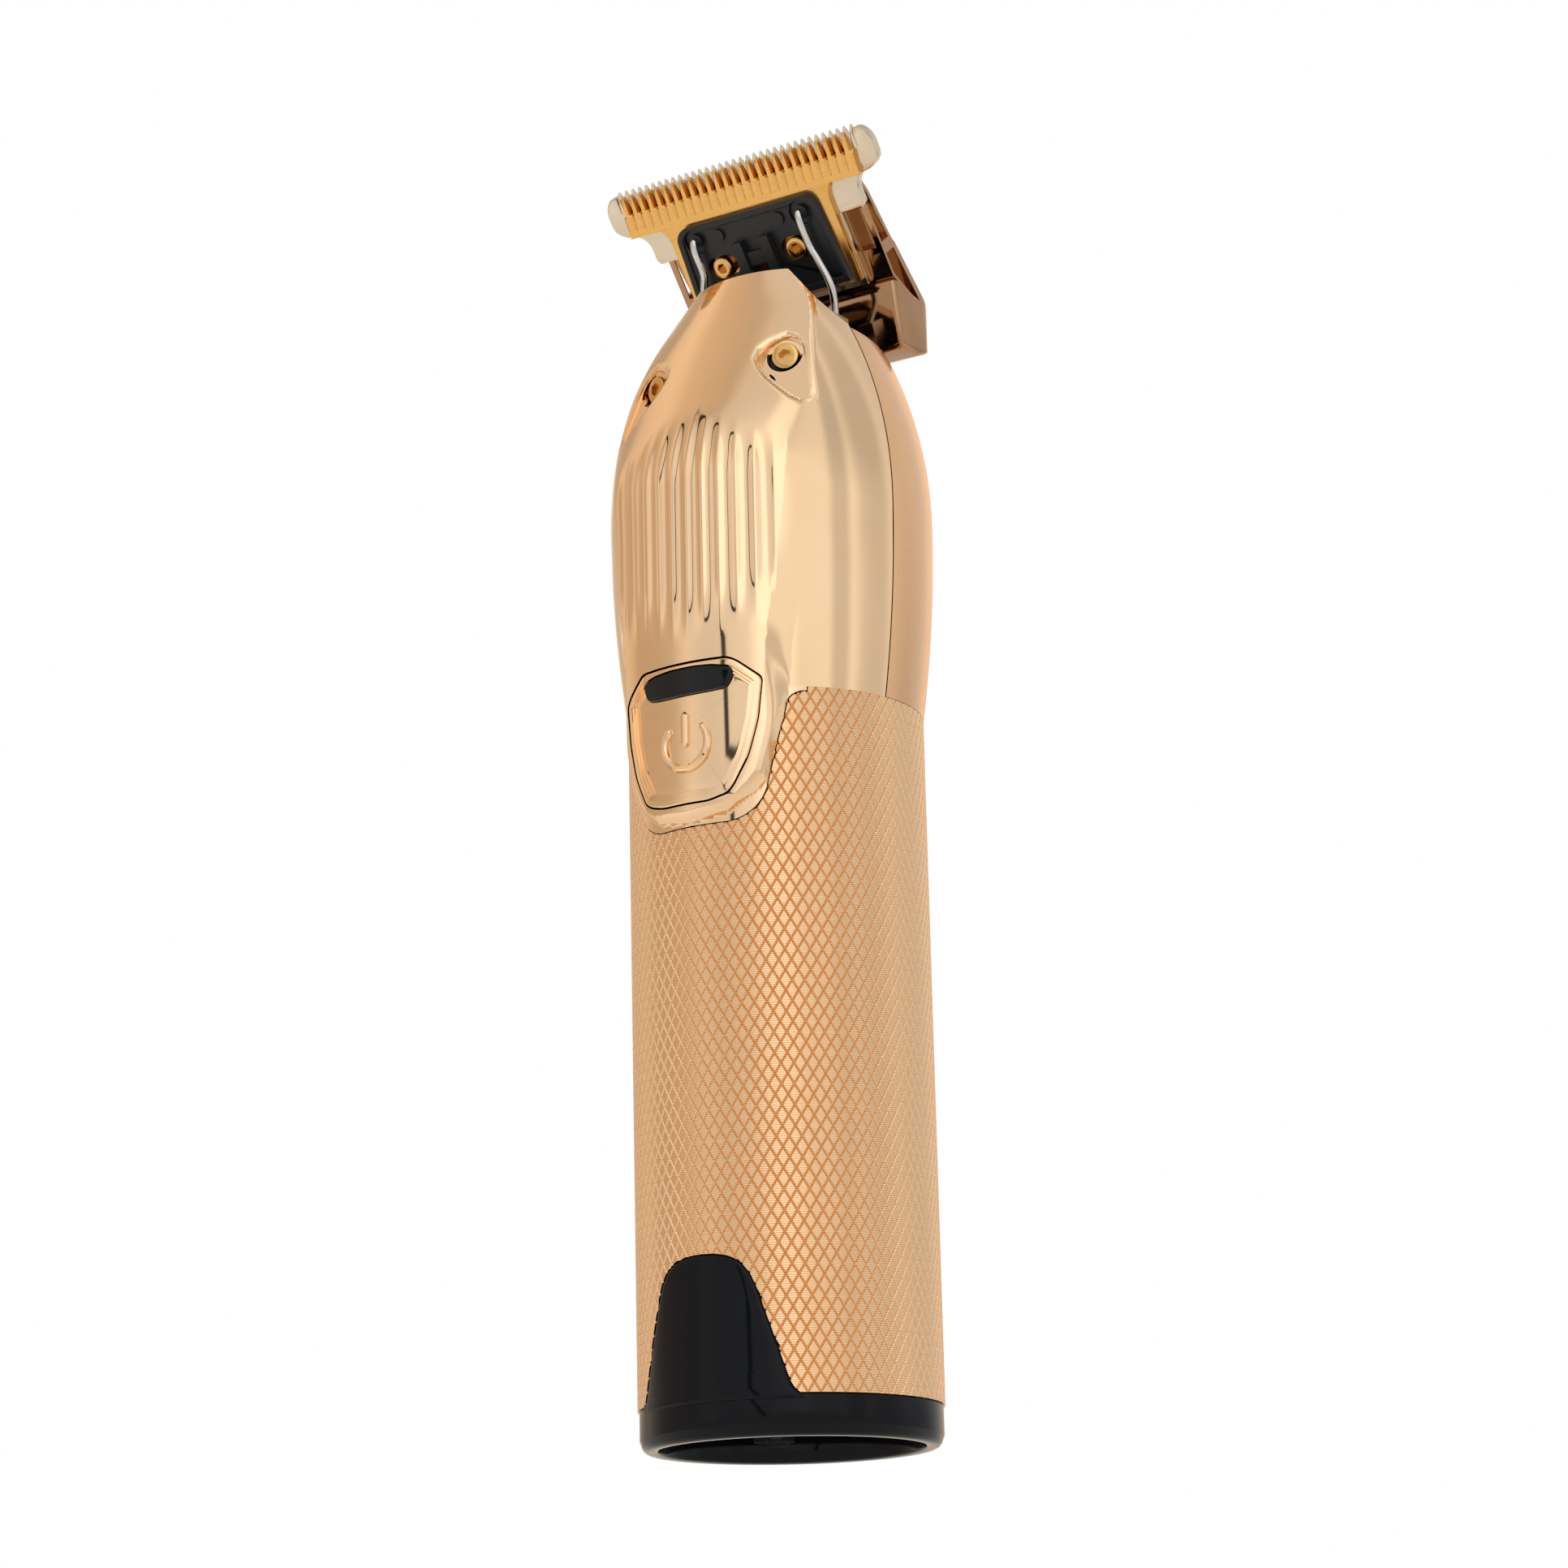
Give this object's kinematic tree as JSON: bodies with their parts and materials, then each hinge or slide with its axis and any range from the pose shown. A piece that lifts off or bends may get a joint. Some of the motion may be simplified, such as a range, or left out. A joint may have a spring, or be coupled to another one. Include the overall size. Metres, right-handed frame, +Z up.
{
  "type": "hair clipper",
  "caption": "Cordless hair clipper with a knurled gold grip, mirror-gold head covers, T-shaped blade set on a tilted bracket, power button and black charging base.",
  "frame": {"origin": "on the body axis, at the underside of the base rim that the clipper stands on", "axes": "+Z up the body to the blade, -Y the button side, X along the blade's stroke"},
  "size_m": [0.0424, 0.0418, 0.1686],
  "materials": {
    "black_gloss": "gloss moulded",
    "black_matte": "satin moulded",
    "brass": "plain",
    "board_green": "solder mask",
    "gold_knurled": "diamond knurled and anodised",
    "cell_wrap": "shrink wrap",
    "nickel": "nickel plated",
    "clear_guide": "clear moulded",
    "lamp_white": "moulded",
    "lead_red": "insulated wire",
    "gold_mirror": "polished and plated",
    "gold_satin": "satin plated",
    "gold_screw": "plated",
    "magnet": "ferrite",
    "white_plastic": "moulded",
    "steel": "bright",
    "blade_gold_steel": "ground and plated",
    "copper": "enamelled winding",
    "blade_gold": "titanium nitride coated",
    "lens_black": "smoked"
  },
  "bodies": {
    "handle": {"base_cap": "black_gloss", "socket_plate": "black_gloss", "jack_housing": "black_matte", "jack_pin": "brass", "charge_board": "board_green", "knurled_sleeve": "gold_knurled", "battery_holder": "black_matte", "battery_cell": "cell_wrap", "battery_tab_bottom": "nickel", "battery_tab_top": "nickel", "main_board": "board_green", "tact_switch": "black_matte", "light_guide": "clear_guide", "indicator_leds": "lamp_white", "battery_leads": "lead_red", "motor_leads": "lead_red", "front_cover": "gold_mirror", "rear_cover": "gold_satin", "cover_screws": "gold_screw", "motor_can": "nickel", "motor_magnets": "magnet", "motor_endcap": "white_plastic", "motor_terminals": "brass", "bush_front": "brass", "bush_rear": "brass", "motor_mount": "black_matte", "motor_screws": "steel", "head_frame": "black_matte", "bracket_screws": "steel", "blade_bracket": "gold_mirror", "fixed_blade": "blade_gold_steel", "blade_screws": "gold_screw", "tension_spring": "steel", "spring_clamp": "steel"},
    "rotor": {"rotor_shaft": "steel", "armature": "copper", "eccentric_cam": "white_plastic", "drive_pin": "steel"},
    "blade": {"moving_blade": "blade_gold", "blade_carrier": "black_matte", "carrier_rivets": "black_matte"},
    "button": {"power_button": "gold_mirror", "indicator_lens": "lens_black", "switch_plunger": "white_plastic"}
  },
  "joints": [
    {"name": "blade_slide", "type": "slide", "parent": "handle", "child": "blade", "axis": [1, 0, 0], "range_m": [-0.0007, 0.0007], "deforming": ["tension_spring"]},
    {"name": "rotor_spin", "type": "hinge", "parent": "handle", "child": "rotor", "pos_m": [0, 0, 0.134], "axis": [0, 0, 1], "continuous": true},
    {"name": "button_press", "type": "slide", "parent": "handle", "child": "button", "axis": [0, 1, 0], "range_m": [0, 0.0006], "stiffness_N_per_m": 600}
  ],
  "couplings": [
    {"joint": "rotor_spin", "follows": "blade_slide", "rad_per_m": 2244}
  ]
}
